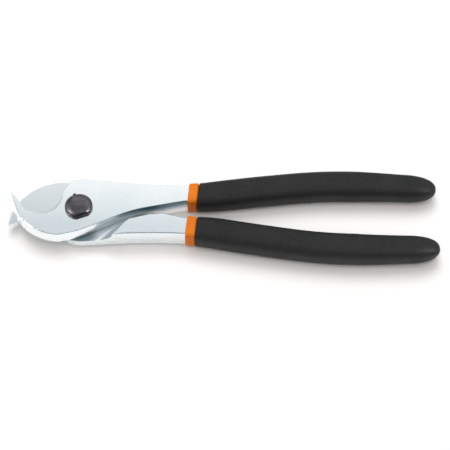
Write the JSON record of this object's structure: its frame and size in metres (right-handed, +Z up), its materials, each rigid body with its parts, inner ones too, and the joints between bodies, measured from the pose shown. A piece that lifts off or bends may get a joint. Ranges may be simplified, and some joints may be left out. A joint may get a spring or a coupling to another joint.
{
  "type": "cable cutter",
  "caption": "One-hand cable cutter lying closed: two lapped steel forgings with crescent jaws on a domed pivot bolt, and sleeved two-colour grips.",
  "frame": {"origin": "on the pivot axis, in the bolt's end face, which is the plane that the tool lies on", "axes": "+X from the pivot towards the handles' ends, +Y across the tool towards the front half's handle, +Z up along the pivot axis towards the bolt's domed head"},
  "size_m": [0.2302, 0.0546, 0.0161],
  "materials": {
    "forged_steel": "satin chrome plate over polished forged steel",
    "black_oxide_steel": "blackened steel, semi-gloss",
    "washer_steel": "plain",
    "orange_plastic": "smooth, slightly glossy",
    "black_rubber": "matt, fine slip-resistant texture"
  },
  "bodies": {
    "front_body": {"front_half": "forged_steel", "upper_grip_sleeve": "orange_plastic", "upper_grip_cover": "black_rubber", "pivot_bolt": "black_oxide_steel", "locking_pin": "black_oxide_steel", "pivot_nut": "black_oxide_steel", "pivot_washer": "washer_steel"},
    "rear_body": {"rear_half": "forged_steel", "lower_grip_sleeve": "orange_plastic", "lower_grip_cover": "black_rubber"}
  },
  "joints": [
    {"name": "jaw_hinge", "type": "hinge", "parent": "front_body", "child": "rear_body", "pos_m": [0, 0, 0.0072], "axis": [0, 0, -1], "range_deg": [0, 60]}
  ]
}
